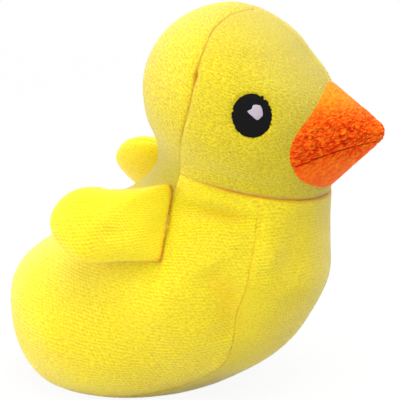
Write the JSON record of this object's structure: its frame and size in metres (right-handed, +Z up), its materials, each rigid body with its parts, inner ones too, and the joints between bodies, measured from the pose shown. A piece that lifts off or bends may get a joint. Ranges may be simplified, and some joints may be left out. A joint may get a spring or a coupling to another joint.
{
  "type": "plush duck",
  "caption": "Sitting plush duck of sewn panels over fibre filling, with a round head, a pointed two-part bill, stitched oval eyes and two small stuffed wings that flap on their root seams.",
  "frame": {"origin": "on the flat underside, on the middle plane of the duck, below the middle of its length", "axes": "+Z up, -Y the way the bill points, +X the duck's left side"},
  "size_m": [0.0978, 0.1403, 0.1446],
  "materials": {
    "yellow_plush": "short knitted pile",
    "orange_plush": "crushed short pile",
    "black_thread": "satin stitch embroidery",
    "pale_thread": "satin stitch embroidery",
    "fibre_fill": "loose white fibre"
  },
  "bodies": {
    "duck": {"face_right": "yellow_plush", "face_left": "yellow_plush", "back_gusset": "yellow_plush", "body_side_right": "yellow_plush", "body_side_left": "yellow_plush", "belly_gusset": "yellow_plush", "bill_upper": "orange_plush", "bill_lower": "orange_plush", "bill_filling": "fibre_fill", "head_filling": "fibre_fill", "body_filling": "fibre_fill", "eye_right": "black_thread", "eye_left": "black_thread", "eye_highlight_right": "pale_thread", "eye_highlight_left": "pale_thread"},
    "wing_right": {"wing_right_outer": "yellow_plush", "wing_right_inner": "yellow_plush", "wing_right_filling": "fibre_fill"},
    "wing_left": {"wing_left_outer": "yellow_plush", "wing_left_inner": "yellow_plush", "wing_left_filling": "fibre_fill"}
  },
  "joints": [
    {"name": "wing_right_flap", "type": "hinge", "parent": "duck", "child": "wing_right", "pos_m": [-0.03481, -0.00721, 0.06946], "axis": [0.4879, -0.0259, 0.8725], "range_deg": [0, 45], "stiffness_Nm_per_rad": 0.01},
    {"name": "wing_left_flap", "type": "hinge", "parent": "duck", "child": "wing_left", "pos_m": [0.03481, -0.00721, 0.06946], "axis": [0.4879, 0.0259, -0.8725], "range_deg": [0, 45], "stiffness_Nm_per_rad": 0.01}
  ]
}
